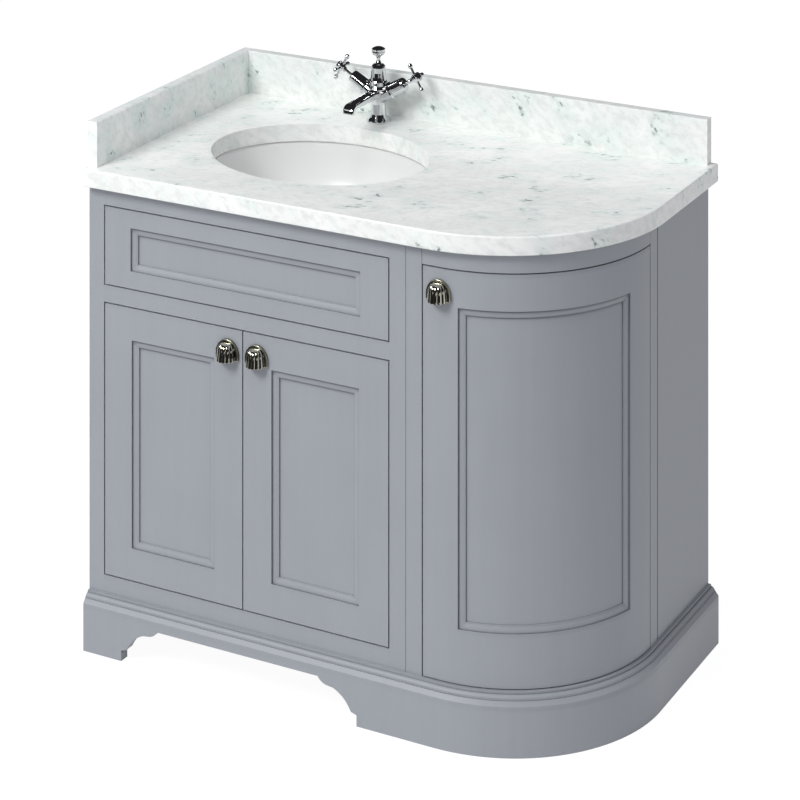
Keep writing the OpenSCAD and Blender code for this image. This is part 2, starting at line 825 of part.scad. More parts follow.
module basin() {
    steps = 12;
    inner = bowl(basin_a - 1, basin_depth, steps);
    outer = bowl(basin_a - 1 + ceramic_t, basin_depth + ceramic_t, steps);
    hole = waste_flange_r + 20;
    shell = concat(
        [[basin_a + rim_w, 0]],
        [for (p = inner) if (p[0] > hole) p],
        [[hole, -basin_depth], [hole, -basin_depth - ceramic_t]],
        [for (i = [steps : -1 : 0]) if (outer[i][0] > hole && outer[i][1] < -rim_t) outer[i]],
        [[basin_a + ceramic_t, -rim_t], [basin_a + rim_w, -rim_t]]
    );
    color(white_ceramic) placed() difference() {
        union() {
            translate([basin_x, basin_y, cabinet_top]) oval_ring(shell, 64);
            oval(hole + 4, hole * basin_ratio + 4, bowl_z - ceramic_t, bowl_z);
        }
        translate([basin_x, waste_y, bowl_z - 30]) cylinder(r = waste_hole_r, h = 60);
        translate([basin_x, waste_y, flange_z - 2]) cylinder(r = waste_flange_r + 0.5, h = 10);
    }
}

clip_angles = [20, 160, 200, 340];

module basin_clips() {
    color(steel) placed() for (a = clip_angles)
        translate([basin_x + (basin_a + rim_w) * cos(a), basin_y + (basin_a + rim_w) * basin_ratio * sin(a),
            cabinet_top - rim_t - 3]) rotate([0, 0, a]) {
                translate([-8, -9, 0]) cube([30, 18, 3]);
                translate([14, 0, 3]) cylinder(r = 4, h = rim_t);
            }
}

// ---- Waste ----

waste_tube_r = 22.5;
waste_thread_r = 20.95;
waste_thread_l = 25;
waste_bore_r = 16;
waste_tube_z = lever_z - 14;
waste_tail_z = waste_tube_z - waste_thread_l;
port_r = 6.5;
port_wall = 3;
port_l = 33;
cross_pin_r = 2;

module waste_body() {
    color(chrome) placed() difference() {
        translate([basin_x, waste_y, 0]) union() {
            translate([0, 0, flange_z - 2]) cylinder(r = waste_flange_r, h = 3);
            translate([0, 0, waste_tube_z]) cylinder(r = waste_tube_r, h = flange_z - waste_tube_z);
            translate([0, 0, waste_tail_z]) cylinder(r = waste_thread_r, h = waste_thread_l + 1);
            translate([0, 0, lever_z]) rotate([-90, 0, 0]) cylinder(r = port_r + port_wall, h = port_l);
        }
        translate([basin_x, waste_y, waste_tail_z - 1]) cylinder(r = waste_bore_r, h = 200);
        translate([basin_x, waste_y, lever_z]) rotate([-90, 0, 0]) cylinder(r = port_r, h = 40);
        translate([basin_x - 15, lever_y, lever_z]) rotate([0, 90, 0])
            cylinder(r = cross_pin_r + pin_clearance, h = 30);
    }
}

module waste_nut() {
    color(chrome) placed() translate([basin_x, waste_y, bowl_z - ceramic_t - 9]) difference() {
        cylinder(r = 30, h = 8.8, $fn = 8);
        translate([0, 0, -1]) cylinder(r = waste_tube_r, h = 12);
    }
}

stem_r = 6;
stem_slot_r = 4.4;

module waste_plug() {
    head_z = flange_z + 1.4 + 2 * plug_rest;
    stem_low = lever_z - 10;
    color(chrome) placed() translate([basin_x, waste_y, 0]) difference() {
        union() {
            translate([0, 0, head_z]) cylinder(r = 24, h = 3);
            translate([0, 0, head_z + 3]) cylinder(r1 = 22, r2 = 12, h = 2.5);
            translate([0, 0, stem_low]) cylinder(r = stem_r, h = head_z - stem_low);
        }
        translate([0, -20, lever_z + plug_rest]) rotate([-90, 0, 0]) cylinder(r = stem_slot_r, h = 40);
    }
}

// The lever rocks on a cross pin through its ball, in the waste's side port; it is drawn with its
// outer end down.
module plug_lever() {
    reach = (lever_arm + 10) / cos(lever_tilt);
    inner = (lever_y - waste_y + 3) / cos(lever_tilt);
    color(chrome) placed() translate([basin_x, lever_y, lever_z]) rotate([-lever_tilt, 0, 0]) {
        sphere(r = port_r - 0.08);
        translate([-port_r - port_wall, 0, 0]) rotate([0, 90, 0])
            cylinder(r = cross_pin_r, h = 2 * (port_r + port_wall));
        translate([0, -inner, 0]) rotate([-90, 0, 0]) cylinder(r = lever_r, h = inner + reach);
    }
}

// ---- Lift knob and its rod ----

rod_r = 2.5;
rod_low = lever_z + 30;
strap_w = 12;
neck_r = 4.2;
bonnet_top = 110;
finial_z = worktop_top + bonnet_top + 0.2;

module lift_knob() {
    color(chrome) placed() translate([basin_x, tap_y, 0]) union() {
        translate([0, 0, rod_low]) cylinder(r = rod_r, h = finial_z - rod_low + 5);
        translate([0, 0, finial_z]) rotate_extrude() polygon(concat(
            [[0, 0], [neck_r + 1, 0], [neck_r - 0.6, 4], [neck_r - 0.6, 9], [6, 12]],
            arc_points([8, 13.5], [12.8, 22], -2.2, 5),
            [[12.8, 25]],
            arc_points([12, 26], [0, 29], -1.2, 5)
        ));
    }
}

module lift_strap() {
    left = basin_x - strap_w / 2;
    right = basin_x + strap_w / 2;
    hook_z = lever_z - tan(lever_tilt) * lever_arm;
    color(steel) placed() difference() {
        union() {
            box([left, strap_y - strap_t / 2, hook_z - strap_w],
                [right, strap_y + strap_t / 2, rod_low + 25]);
            box([left, tap_y - 6, rod_low + 5], [right, strap_y - strap_t / 2, rod_low + 20]);
        }
        translate([basin_x, tap_y, rod_low - 1]) cylinder(r = rod_r, h = 40);
        translate([basin_x, strap_y - 10, hook_z]) rotate([-90, 0, 0])
            cylinder(r = lever_r + 0.9, h = 20);
    }
}

// ---- Tap ----

base_r = 23;
column_r = 14.5;
shank_out_r = 16;
shank_in_r = 13;
arm_root_r = 15.3;
arm_end_r = 13;
arm_from = 6;
arm_l = 30;

module at_tap() {
    placed() translate([basin_x, tap_y, worktop_top]) children();
}

// Turns a piece drawn along +Z into the line of a valve; side is -1 for hot and 1 for cold.
module along_valve(side) {
    at_tap() translate([0, 0, valve_z]) rotate([0, side * (90 - valve_angle), 0]) children();
}

module tap_body() {
    profile = [
        [0, 0], [base_r, 0], [base_r, 3], [base_r - 2, 4], [base_r - 3.5, 6], [17, 9], [column_r, 15],
        [column_r - 0.5, 34], [16, 42], [18.5, 46], [18.5, 62.5], [16.5, 66], [15.5, 68], [15.5, 74], [0, 74]
    ];
    color(chrome) difference() {
        union() {
            at_tap() rotate_extrude() polygon(profile);
            at_tap() translate([0, 0, -52]) cylinder(r = shank_out_r, h = 53);
            for (side = [-1, 1]) along_valve(side) translate([0, 0, arm_from])
                cylinder(r1 = arm_root_r, r2 = arm_end_r, h = arm_l - arm_from);
        }
        at_tap() translate([0, 0, -53]) cylinder(r = shank_in_r, h = 57);
        at_tap() translate([0, 0, -1]) cylinder(r = 3.2, h = 80);
    }
}

spout_w = 21;
spout_reach = 120;
spout_root_z = 62;
spout_top_z = 59.5;
spout_low_z = 50;
outlet_z = 43;
outlet_l = 13;
spout_hole_r = 4.5;

// Side outline of the spout as [distance in front of the column's axis, height] points: a nearly
// level top, a rounded nose and a lip turned down round the outlet. Its plan ends in a half circle.
spout_outline = concat(
    [[0, spout_root_z], [spout_reach - 16, spout_top_z]],
    arc_points([spout_reach - 12, spout_top_z - 0.6], [spout_reach, outlet_z + 4], 3.4, 6),
    [[spout_reach, outlet_z], [spout_reach - outlet_l, outlet_z]],
    arc_points([spout_reach - outlet_l - 0.5, outlet_z + 2.5], [spout_reach - 24, spout_low_z], -1.6, 4),
    [[0, spout_low_z - 4]]
);

module tap_spout() {
    color(chrome) at_tap() difference() {
        intersection() {
            translate([spout_w / 2, 0, 0]) rotate([90, 0, -90]) linear_extrude(spout_w)
                polygon(spout_outline);
            linear_extrude(80) union() {
                translate([-spout_w / 2, spout_w / 2 - spout_reach]) square([spout_w, spout_reach]);
                translate([0, spout_w / 2 - spout_reach]) circle(r = spout_w / 2);
            }
        }
        cylinder(r = 18.5, h = 80);
        translate([0, -spout_reach + outlet_l / 2, outlet_z - 1]) cylinder(r = spout_hole_r, h = 8);
    }
}

module tap_bonnet() {
    profile = [
        [2.58, 74], [17, 74], [17, 75.5], [15.6, 78], [14.4, 84], [13.7, 92], [13.4, 101],
        [12.6, 104], [10, 106.5], [6, 107.5], [5.2, bonnet_top], [2.58, bonnet_top]
    ];
    color(chrome) at_tap() rotate_extrude() polygon(profile);
}

module tap_backnut() {
    color(brass) at_tap() translate([0, 0, -worktop_t - 10]) difference() {
        cylinder(r = 24, h = 10);
        translate([0, 0, -1]) cylinder(r = shank_out_r, h = 12);
    }
}

tail_x = 7;
tail_end_x = 40;
tail_drop = 180;
tail_thread_r = 10.48;
tail_thread_l = 14;

module tap_tails() {
    slant = atan((tail_end_x - tail_x) / (tail_drop - 60));
    color(steel) for (side = [-1, 1]) at_tap() {
        translate([side * tail_x, 3.5, -60]) cylinder(r = 4.4, h = 55);
        translate([side * tail_x, 3.5, -60]) sphere(r = 4.4);
        translate([side * tail_x, 3.5, -60]) rotate([0, side * (180 - slant), 0])
            cylinder(r = 4.4, h = (tail_drop - 60) / cos(slant));
        translate([side * tail_end_x, 3.5, -tail_drop - tail_thread_l])
            cylinder(r = tail_thread_r, h = tail_thread_l + 4);
    }
}

spindle_r = 3;
spindle_from = 46;
sleeve_end = 67;
collar_r = 16;
barrel_r = 13.5;

module valve(side) {
    color(chrome) along_valve(side) difference() {
        rotate_extrude() polygon([
            [0, arm_l], [collar_r, arm_l], [collar_r, arm_l + 2.5], [barrel_r, arm_l + 4],
            [barrel_r - 1, sleeve_end - 6], [barrel_r - 2.2, sleeve_end - 3],
            [barrel_r - 5.5, sleeve_end - 1], [5, sleeve_end], [0, sleeve_end]
        ]);
        translate([0, 0, spindle_from - 4]) cylinder(r = spindle_r + 0.06, h = 60);
    }
}

module hot_valve() {
    valve(-1);
}

module cold_valve() {
    valve(1);
}

spoke_span = 28.5;
ball_r = 4.2;

// A cross handle with its spindle: hub, four spokes with ball ends and a domed cap.
module cross_handle(side) {
    color(chrome) along_valve(side) union() {
        translate([0, 0, spindle_from]) cylinder(r = spindle_r, h = handle_reach - spindle_from);
        translate([0, 0, handle_reach]) rotate_extrude() polygon([
            [0, -10], [4.5, -10], [5.5, -7], [7.2, -5], [7.2, 4], [9, 5.5], [9, 7], [7, 9], [3, 10.4],
            [0, 10.6]
        ]);
        for (a = [0 : 90 : 270]) translate([0, 0, handle_reach]) rotate([0, 0, a])
            translate([5, 0, 0]) rotate([0, 90, 0]) rotate_extrude() polygon([
                [0, 0], [2.8, 0], [2.2, 6], [2.2, 14.2], [3.4, 15.2], [ball_r, 17.2],
                [ball_r, 20], [3.2, 22.3], [1.6, spoke_span - 5.2], [0, spoke_span - 5]
            ]);
    }
}

module hot_handle() {
    cross_handle(-1);
}

module cold_handle() {
    cross_handle(1);
}

left_side_panel();
middle_panel_left();
middle_panel_right();
right_side_panel();
left_back_rails();
curved_back_panel();
left_floor();
curved_floor();
curved_shelf();
shelf_pins();
frame_left_stile();
frame_right_stile();
frame_top_rail();
frame_middle_rail();
frame_bottom_rail();
curved_left_stile();
curved_right_stile();
curved_top_rail();
worktop_blocks();
pivot_bushes();
plinth_front();
plinth_curve();
plinth_left_board();
plinth_cross_rails();
plinth_moulding();
drawer_front_frame();
drawer_front_panel();
drawer_front_battens();
left_door_frame();
left_door_panel();
left_door_pins();
left_door_knob();
right_door_frame();
right_door_panel();
right_door_pins();
right_door_knob();
curved_door_frame();
curved_door_panel();
curved_door_pins();
curved_door_knob();
worktop();
left_upstand();
back_upstand();
basin();
basin_clips();
waste_body();
waste_nut();
waste_plug();
plug_lever();
lift_knob();
lift_strap();
tap_body();
tap_spout();
tap_bonnet();
tap_backnut();
tap_tails();
hot_valve();
cold_valve();
hot_handle();
cold_handle();
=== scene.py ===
import json
import math

import bmesh
import bpy
from mathutils import Matrix, Vector


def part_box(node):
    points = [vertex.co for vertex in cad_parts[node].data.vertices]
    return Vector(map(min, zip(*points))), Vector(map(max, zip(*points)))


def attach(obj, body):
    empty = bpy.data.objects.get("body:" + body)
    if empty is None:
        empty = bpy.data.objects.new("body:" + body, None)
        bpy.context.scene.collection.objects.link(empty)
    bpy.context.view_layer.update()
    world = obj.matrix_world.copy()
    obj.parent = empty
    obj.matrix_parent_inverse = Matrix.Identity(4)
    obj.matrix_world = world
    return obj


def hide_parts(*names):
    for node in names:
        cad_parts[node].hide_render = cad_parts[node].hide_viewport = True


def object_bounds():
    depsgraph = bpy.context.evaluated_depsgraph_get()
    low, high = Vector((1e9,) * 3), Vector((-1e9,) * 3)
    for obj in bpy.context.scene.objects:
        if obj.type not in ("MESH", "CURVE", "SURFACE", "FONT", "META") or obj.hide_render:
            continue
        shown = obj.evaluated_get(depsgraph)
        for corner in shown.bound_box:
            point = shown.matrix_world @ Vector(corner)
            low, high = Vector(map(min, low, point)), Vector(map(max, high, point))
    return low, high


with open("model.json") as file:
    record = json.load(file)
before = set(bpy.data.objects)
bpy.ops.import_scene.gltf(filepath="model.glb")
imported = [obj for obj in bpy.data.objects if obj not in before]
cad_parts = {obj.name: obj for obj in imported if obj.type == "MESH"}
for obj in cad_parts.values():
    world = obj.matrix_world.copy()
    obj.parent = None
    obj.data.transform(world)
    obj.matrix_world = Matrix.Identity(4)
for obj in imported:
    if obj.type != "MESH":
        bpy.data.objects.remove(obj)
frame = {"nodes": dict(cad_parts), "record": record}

cad_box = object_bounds()

# ---- Camera ----
# A level view camera whose back is slid far down, so upright edges stay parallel in the picture.
# The slide is a slant of the camera's own axes, held in the parent's matrix: the view's rightward
# axis is level, its upward axis is plumb, and only the line of sight leans.
PICTURE = 800                     # pixels each way
FOCAL_PIXELS = 2780.8
FACED_PIXEL = (388.5, -714.4)     # where the level axis meets the picture's plane
CAMERA_TURN = math.radians(28.05)
CAMERA_PLACE = (2.2971, -4.3586, 2.4129)
SENSOR_WIDTH = 36
FAR_CLIP = 100
ahead = Vector((-math.sin(CAMERA_TURN), math.cos(CAMERA_TURN), 0))
right = Vector((math.cos(CAMERA_TURN), math.sin(CAMERA_TURN), 0))
upward = Vector((0, 0, 1))
slide = Vector((FACED_PIXEL[0] - PICTURE / 2, PICTURE / 2 - FACED_PIXEL[1]))
sight = math.hypot(FOCAL_PIXELS, slide.length)
back = (slide.x * right + slide.y * upward - FOCAL_PIXELS * ahead) / sight
slant = Matrix((right, upward, back)).transposed().to_4x4()
slant.translation = CAMERA_PLACE
bpy.ops.object.select_all(action="DESELECT")
bpy.ops.object.empty_add()
tripod = bpy.context.object
tripod.name = "tripod"
bpy.ops.object.camera_add()
camera = bpy.context.object
camera.name = "camera"
camera.data.sensor_width = SENSOR_WIDTH
camera.data.lens = sight / PICTURE * SENSOR_WIDTH
camera.data.clip_end = FAR_CLIP
camera.parent = tripod
camera.matrix_parent_inverse = slant
bpy.context.scene.camera = camera


# ---- Floor, backdrop and lamps ----
# A pale studio: a seamless floor that reads white and keeps the unit's shadow, one soft lamp to the
# left of the front, a weak one overhead and an even world. Polished metal sees a room: dark floor,
# front wall and ceiling, low pale walls elsewhere and a white board above the front.
class Value:
    """A socket of a material: sums and products of values add Math nodes to its tree."""

    def __init__(self, socket):
        self.socket = socket

    def math(self, operation, *terms):
        node = self.socket.id_data.nodes.new("ShaderNodeMath")
        node.operation = operation
        for socket, term in zip(node.inputs, terms):
            feed(socket, term)
        return Value(node.outputs[0])

    def __add__(self, other):
        return self.math("ADD", self, other)

    def __sub__(self, other):
        return self.math("SUBTRACT", self, other)

    def __rsub__(self, other):
        return self.math("SUBTRACT", other, self)

    def __mul__(self, other):
        return self.math("MULTIPLY", self, other)

    __radd__ = __add__
    __rmul__ = __mul__

    def ramp(self, start, end):
        """0 before start, 1 past end, and an even ramp between; end may be the lower one."""
        share = (self - start) * (1 / (end - start))
        return self.math("MAXIMUM", self.math("MINIMUM", share, 1.0), 0.0)


def feed(socket, value):
    """Links a socket to a value, or sets it to a constant."""
    if isinstance(value, Value):
        socket.id_data.links.new(value.socket, socket)
    elif isinstance(value, tuple) and len(value) == 3 and len(socket.default_value) == 4:
        socket.default_value = (*value, 1)
    else:
        socket.default_value = value


class Finish:
    """A node material, or the world: node() adds any node, its settings before its sockets."""

    def __init__(self, name, world=False):
        self.data = (bpy.data.worlds if world else bpy.data.materials).new(name)
        self.data.use_nodes = True
        self.tree = self.data.node_tree
        self.tree.nodes.clear()

    def node(self, kind, settings=None, sockets=None, out=0):
        node = self.tree.nodes.new("ShaderNode" + kind)
        for key, value in (settings or {}).items():
            if key == "stops":
                ramp = node.color_ramp
                while len(ramp.elements) < len(value):
                    ramp.elements.new(1)
                for element, (place, colour) in zip(ramp.elements, value):
                    element.position = place
                    element.color = (*colour, 1)
            else:
                setattr(node, key, value)
        for key, value in (sockets or {}).items():
            feed(node.inputs[key], value)
        return Value(node.outputs[out]) if node.outputs else None

    def mix(self, factor, low, high):
        """The colour low where the factor is 0 and high where it is 1."""
        return self.node("Mix", {"data_type": "RGBA"}, {0: factor, 6: low, 7: high}, out=2)

    def surface(self, shader):
        """Ends the tree with a shader, and returns the material or world."""
        output = "OutputWorld" if isinstance(self.data, bpy.types.World) else "OutputMaterial"
        self.node(output, sockets={"Surface": shader})
        return self.data


def by_ray(finish, ray, others, seen):
    """One shader for a kind of ray, and another for all other rays."""
    return finish.node("MixShader", sockets={
        "Fac": finish.node("LightPath", out=ray), 1: others, 2: seen})


FLOOR_WIDTH = 14
FLOOR_GLOW = 0.95
MIRRORED_FLOOR_DARK_TO = -0.82    # Y up to which metal sees the floor dark
MIRRORED_FLOOR_PALE_FROM = -0.67
UNLIT = (0.02, 0.02, 0.02)
bpy.ops.object.select_all(action="DESELECT")
bpy.ops.mesh.primitive_plane_add(size=FLOOR_WIDTH, location=(0, 0, cad_box[0].z))
floor = bpy.context.object
floor.name = "floor"
studio = Finish("studio_white")
floor_y = studio.node("SeparateXYZ", sockets={
    "Vector": studio.node("NewGeometry", out="Position")}, out="Y")
pale_part = floor_y.ramp(MIRRORED_FLOOR_DARK_TO, MIRRORED_FLOOR_PALE_FROM)
matt = studio.node("BsdfDiffuse", sockets={"Color": (0.8, 0.8, 0.8)})
mirrored = studio.node("Emission", sockets={
    "Color": studio.mix(pale_part, UNLIT, (0.90, 0.90, 0.90)), "Strength": 1.0})
faint = studio.node("BsdfDiffuse", sockets={"Color": (0.12, 0.12, 0.12)})
glow = studio.node("Emission", sockets={"Color": (1.0, 1.0, 1.0), "Strength": FLOOR_GLOW})
pictured = studio.node("AddShader", sockets={0: faint, 1: glow})
unpictured = by_ray(studio, "Is Glossy Ray", matt, mirrored)
floor.data.materials.append(studio.surface(
    by_ray(studio, "Is Camera Ray", unpictured, pictured)))

WORLD_LIGHT = 0.475
TOWARDS_BOARD = (-0.47, -0.88, 0.0)
sky = Finish("studio", world=True)
bpy.context.scene.world = sky.data
direction = sky.node("TexCoord", out="Generated")
height = sky.node("SeparateXYZ", sockets={"Vector": direction}, out="Z")
facing = sky.node("VectorMath", {"operation": "DOT_PRODUCT"},
                  {0: direction, 1: TOWARDS_BOARD}, out="Value")
low_walls = sky.node("ValToRGB", {"stops": [
    (0.00, (0.50, 0.50, 0.50)), (0.05, (0.45, 0.45, 0.45)), (0.10, UNLIT)]}, {"Fac": height})
front_wall = facing.ramp(0.55, 0.65)
board = height.ramp(0.42, 0.46) * height.ramp(0.60, 0.56) * facing.ramp(0.70, 0.76)
room = sky.mix(board, sky.mix(front_wall, low_walls, UNLIT), (0.95, 0.95, 0.95))
ambient = sky.node("Background", sockets={"Color": (1.01, 0.985, 1.05), "Strength": WORLD_LIGHT})
mirrored = sky.node("Background", sockets={"Color": room, "Strength": 1.0})
white = sky.node("Background", sockets={"Color": (1.0, 1.0, 1.0), "Strength": 1.0})
unpictured = by_ray(sky, "Is Glossy Ray", ambient, mirrored)
sky.surface(by_ray(sky, "Is Camera Ray", unpictured, white))


def lamp(name, place, target, side, power):
    """A square soft lamp that faces a point."""
    bpy.ops.object.light_add(type="AREA", location=place)
    light = bpy.context.object
    light.name = name
    light.rotation_euler = (Vector(target) - Vector(place)).to_track_quat("-Z", "Y").to_euler()
    light.data.shape = "SQUARE"
    light.data.size = side
    light.data.energy = power
    return light


lamp("key_lamp", place=(-1.3, -3.4, 3.6), target=(0, 0, 0.5), side=1.5, power=125)
top_lamp = lamp("top_lamp", place=(0.0, -1.3, 4.2), target=(0, 0, 0.6), side=1.2, power=19)
top_lamp.visible_glossy = False
bpy.context.scene.view_settings.view_transform = "Standard"


# ---- Painted cabinet work ----
# Boards, frames, doors, plinth and moulding: wood under a cool grey satin paint. The brush leaves
# faint streaks along the height and a soft mottle. Shade is painted dark into the quirks and
# recesses, most of all below the upper edges, as if the light came from above and to the left.
PAINT = (0.344, 0.370, 0.397)
# The deep and pale shares are random tone; the last share is the colour of the painted shade in
# recesses.
PAINT_PALE, PAINT_DEEP, PAINT_IN_PAINTED_SHADE = 1.07, 0.93, 0.22
BRUSH_STREAKS = (60.0, 60.0, 3.0)     # noise cells per metre along X, Y and Z
BRUSH_RELIEF = 0.0006
# Reach, lean towards the upper left, and weight of the shade painted into recesses.
PAINTED_SHADE_REACH = 0.009
PAINTED_SHADE_LEAN = (-0.35, 0.0, 0.80)
PAINTED_SHADE_WEIGHT = 0.72


def tint(colour, share):
    """A share of a colour."""
    return tuple(part * share for part in colour)


def mottled(finish, scale, detail):
    """Even noise over a piece: scale is in cells per metre."""
    return finish.node("TexNoise", sockets={
        "Vector": finish.node("TexCoord", out="Object"), "Scale": scale, "Detail": detail})


def made_of(slot):
    """The CAD nodes of one material slot."""
    return [row["node"] for row in frame["record"]["subparts"] if row["material_slot"] == slot]


def dress(finish, *nodes):
    """Gives CAD nodes a finish."""
    for name in nodes:
        piece = frame["nodes"][name]
        piece.data.materials.clear()
        piece.data.materials.append(finish)


def painted(name, one_piece):
    """The paint, with shade painted dark into its recesses; one_piece takes that painted shade only
    from folds of the board itself.
    """
    finish = Finish(name)
    brushed = finish.node("Mapping", sockets={
        "Vector": finish.node("TexCoord", out="Object"), "Scale": BRUSH_STREAKS})
    streaks = finish.node("TexNoise", sockets={"Vector": brushed, "Scale": 1.0, "Detail": 4.0})
    coat = streaks * 0.5 + mottled(finish, 9.0, 3.0) * 0.5
    colour = finish.mix(coat, tint(PAINT, PAINT_DEEP), tint(PAINT, PAINT_PALE))
    # Painted shade: occlusion leaned towards the upper left darkens the paint in recesses, most of
    # all below upper edges.
    leaning = finish.node("VectorMath", {"operation": "ADD"}, {
        0: finish.node("NewGeometry", out="Normal"), 1: PAINTED_SHADE_LEAN})
    leaning = finish.node("VectorMath", {"operation": "NORMALIZE"}, {0: leaning})
    openness = finish.node("AmbientOcclusion", {"samples": 12, "only_local": one_piece},
                           {"Distance": PAINTED_SHADE_REACH, "Normal": leaning}, out="AO")
    painted_shade = openness.ramp(0.86, 0.60) * openness.ramp(0.34, 0.46)
    colour = finish.mix(painted_shade * PAINTED_SHADE_WEIGHT, colour, tint(PAINT, PAINT_IN_PAINTED_SHADE))
    brush_marks = finish.node("Bump", sockets={
        "Height": streaks, "Strength": 0.12, "Distance": BRUSH_RELIEF})
    return finish.surface(finish.node("BsdfPrincipled", sockets={
        "Base Color": colour, "Roughness": 0.42 + coat * 0.12, "Normal": brush_marks}))


wooden = made_of("painted_wood")
# Sunk panels also take painted shade from the frames around them; the other boards take it only
# from their own folds.
sunk = [name for name in wooden if name.endswith(("door_panel", "front_panel"))]
dress(painted("grey_paint", True), *[name for name in wooden if name not in sunk])
dress(painted("panel_paint", False), *sunk)


# ---- Worktop and upstands ----
# One slab and two upstands of pale polished marble: soft grey clouds, streaks along the slab's
# diagonal, fine grain, and clusters of short grey-green flecks in pale green blooms.
STREAK_TURN = (0.25, 0.5, 0.49)
BLOOM = (0.935, 1.0, 0.985)
PALE_FLECK = (0.45, 0.51, 0.485)
DARK_FLECK = (0.13, 0.18, 0.163)


def veined(finish, size, detail, roughness=0.5):
    """Noise that lies along the streaks: size is a cell's size in metres each way."""
    place = finish.node("Mapping", {"vector_type": "TEXTURE"}, {
        "Vector": finish.node("TexCoord", out="Object"), "Rotation": STREAK_TURN, "Scale": size})
    return finish.node("TexNoise", sockets={
        "Vector": place, "Scale": 1.0, "Detail": detail, "Roughness": roughness})


def marble(name, pale, grey):
    """Marble of one block, between its pale ground and the grey of its clouds."""
    finish = Finish(name)
    cloud = veined(finish, (0.180, 0.060, 0.070), 4.0)
    cluster = veined(finish, (0.080, 0.042, 0.045), 1.0)
    streak = veined(finish, (0.050, 0.0105, 0.013), 4.0, 0.58)
    mottle = veined(finish, (0.017, 0.0095, 0.010), 3.0)
    fleck = veined(finish, (0.020, 0.0075, 0.009), 3.0)
    grain = mottled(finish, 420.0, 2.0)
    gathered = cluster.ramp(0.605, 0.69)
    stone = finish.mix(cloud.ramp(0.38, 0.62), grey, pale)
    for share, colour in (
            (cluster.ramp(0.48, 0.64) * 0.65, tuple(a * b for a, b in zip(grey, BLOOM))),
            (streak.ramp(0.48, 0.72) * 0.34, tint(grey, 0.62)),
            (mottle.ramp(0.50, 0.70) * 0.42, tint(grey, 0.80)),
            (fleck.ramp(0.47, 0.62) * gathered * 0.45, PALE_FLECK),
            (fleck.ramp(0.60, 0.68) * gathered * 0.9, DARK_FLECK)):
        stone = finish.mix(share, stone, colour)
    return finish.surface(finish.node("BsdfPrincipled", sockets={
        "Base Color": stone, "Roughness": 0.20 + streak * 0.08 + grain * 0.04}))


dress(marble("marble", (0.950, 0.972, 0.942), (0.880, 0.912, 0.880)), "worktop")
dress(marble("marble_green", (0.975, 1.000, 0.970), (0.870, 0.935, 0.905)), "left_upstand")
dress(marble("marble_grey", (0.905, 0.925, 0.903), (0.828, 0.862, 0.835)), "back_upstand")


# ---- Basin ----
# Vitreous china under a clear white glaze, one casting: a flat oval rim clipped under the slab, a
# bowl that flattens to its floor, and a round recess for the waste. A thin line of grey sealant
# closes the joint between rim and slab.
def alone(piece):
    """Makes a piece the only one selected, and the active one."""
    bpy.ops.object.select_all(action="DESELECT")
    piece.select_set(True)
    bpy.context.view_layer.objects.active = piece


def start_edit(name, add, **settings):
    """Adds a primitive with nothing else selected, names it and opens it for editing."""
    bpy.ops.object.select_all(action="DESELECT")
    add(**settings)
    piece = bpy.context.object
    piece.name = piece.data.name = name
    bpy.ops.object.mode_set(mode="EDIT")
    return piece


def pick(kind, test):
    """Selects the vertices, edges or faces of the open piece that pass a test."""
    modes = {"verts": "VERT", "edges": "EDGE", "faces": "FACE"}
    bpy.ops.mesh.select_mode(type=modes[kind])
    bpy.ops.mesh.select_all(action="DESELECT")
    mesh = bmesh.from_edit_mesh(bpy.context.object.data)
    for item in getattr(mesh, kind):
        item.select_set(test(item))
    mesh.select_flush_mode()
    bmesh.update_edit_mesh(bpy.context.object.data)


def extrude(move):
    """Extrudes the selected edges or faces."""
    bpy.ops.mesh.extrude_region_move(TRANSFORM_OT_translate={"value": move})


def stretch(factors, centre):
    """Scales what is selected about a centre."""
    bpy.ops.transform.resize(value=factors, center_override=centre)


def grow(rise, spread, centre):
    """Extrudes the selected ring upwards and spreads it about an upright axis."""
    extrude((0, 0, rise))
    stretch((spread, spread, 1), centre)


def modify(piece, kind, **settings):
    """Adds a modifier and applies it."""
    modifier = piece.modifiers.new(kind.lower(), kind)
    for key, value in settings.items():
        setattr(modifier, key, value)
    bpy.ops.object.modifier_apply(modifier=modifier.name)


def smooth(below):
    """Shades the selected piece smooth, apart from edges that fold by more degrees."""
    bpy.ops.object.shade_smooth_by_angle(angle=math.radians(below))


def close_edit(smooth_below):
    """Merges doubles, turns the faces outwards, leaves edit mode and shades the piece."""
    bpy.ops.mesh.select_all(action="SELECT")
    bpy.ops.mesh.remove_doubles(threshold=0.00001)
    bpy.ops.mesh.normals_make_consistent(inside=False)
    bpy.ops.object.mode_set(mode="OBJECT")
    smooth(smooth_below)


def settle(piece, finish, slot, body, *nodes):
    """Gives a piece its finish, the body it rides on and the CAD nodes it stands for; slot is not
    used.
    """
    bpy.ops.object.transform_apply(location=True, rotation=True, scale=True)
    if finish:
        piece.data.materials.clear()
        piece.data.materials.append(finish)
    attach(piece, body)
    if nodes:
        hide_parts(*nodes)


